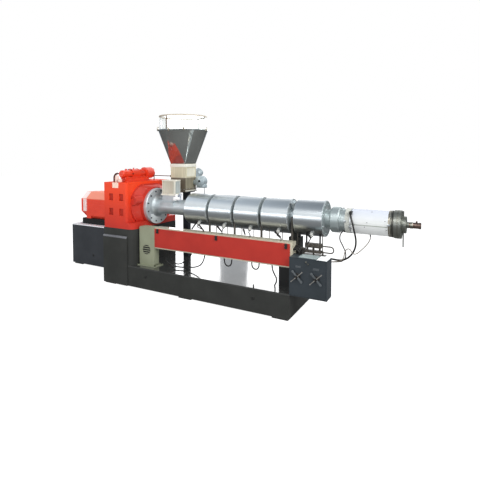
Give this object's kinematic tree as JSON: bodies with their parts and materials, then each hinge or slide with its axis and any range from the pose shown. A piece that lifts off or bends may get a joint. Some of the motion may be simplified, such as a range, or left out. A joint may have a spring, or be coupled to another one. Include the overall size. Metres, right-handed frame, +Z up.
{
  "type": "plastic extruder",
  "caption": "Single-screw plastic extruder on a beam base: motor, gearbox, heated barrel, feeder with hopper, cable duct and valve box.",
  "frame": {"origin": "on the floor, under the screw axis, where the barrel flange leaves its housing", "axes": "+X along the screw towards the outlet, +Y away from the operator's side, +Z up"},
  "size_m": [5.016, 1.1732, 2.242],
  "materials": {
    "base_paint": "charcoal gloss enamel",
    "plate_paint": "charcoal gloss enamel",
    "stand_paint": "blue-grey satin enamel",
    "black_steel": "black satin paint",
    "motor_paint": "orange-red enamel",
    "gearbox_paint": "orange-red enamel on a casting",
    "bright_steel": "bright steel",
    "machined_steel": "machined steel",
    "brushed_steel": "brushed stainless sheet",
    "turned_steel": "turned stainless plate",
    "black_plastic": "black",
    "ceramic": "unglazed light grey",
    "pipe_steel": "dark pipe",
    "white_paint": "white enamel on sheet",
    "ring_steel": "dull steel",
    "dark_steel": "oiled steel",
    "outlet_steel": "heat-tinted steel",
    "chute_paint": "beige enamel",
    "column_paint": "black enamel",
    "trough_paint": "brown-grey enamel",
    "motor_alloy": "cast alloy",
    "neck_paint": "cream enamel",
    "polished_steel": "polished stainless sheet",
    "clear_acrylic": "clear",
    "post_paint": "grey-green enamel",
    "duct_paint": "beige enamel",
    "cover_paint": "red enamel",
    "box_paint": "blue-black enamel",
    "cable_rubber": "black"
  },
  "bodies": {
    "root": {"levelling_pads": "base_paint", "base_frame": "base_paint", "base_top_plate": "plate_paint", "motor_stand": "stand_paint", "gearbox_pedestal": "base_paint", "motor_rails": "black_steel", "motor_body": "motor_paint", "motor_end_bells": "motor_paint", "coupling_guard": "motor_paint", "gearbox_housing": "gearbox_paint", "bearing_housing": "gearbox_paint", "lube_pump": "gearbox_paint", "lube_pipe": "bright_steel", "barrel": "machined_steel", "barrel_flange": "machined_steel", "heater_drum_1": "brushed_steel", "heater_drum_2": "brushed_steel", "heater_drum_3": "brushed_steel", "heater_drum_4": "brushed_steel", "heater_drum_5": "brushed_steel", "drum_end_plates": "turned_steel", "heater_plugs": "ceramic", "cooling_pipes": "pipe_steel", "barrel_support": "base_paint", "discharge_neck": "machined_steel", "insulated_sleeve": "white_paint", "sleeve_rings": "ring_steel", "end_flange": "dark_steel", "end_disc": "dark_steel", "outlet_pipe": "outlet_steel", "feed_chute": "chute_paint", "throat_clamp": "bright_steel", "feeder_column": "column_paint", "feeder_trough": "trough_paint", "feeder_motor": "motor_alloy", "hopper_neck": "neck_paint", "hopper": "polished_steel", "sight_sleeve": "clear_acrylic", "sight_ring": "ring_steel", "duct_post": "post_paint", "cable_duct": "duct_paint", "duct_cover": "cover_paint", "duct_latches": "black_plastic", "duct_leg": "base_paint", "valve_box": "box_paint", "valve_handles": "dark_steel", "water_manifold": "pipe_steel", "fixed_leads": "cable_rubber", "cable_glands": "black_plastic", "sleeve_cable": "cable_rubber", "neck_cable": "cable_rubber", "signal_wire": "cable_rubber", "duct_loop_1": "cable_rubber", "duct_loop_2": "cable_rubber", "riser_cable": "cable_rubber", "floor_cable": "cable_rubber", "short_cable": "cable_rubber"}
  },
  "joints": []
}
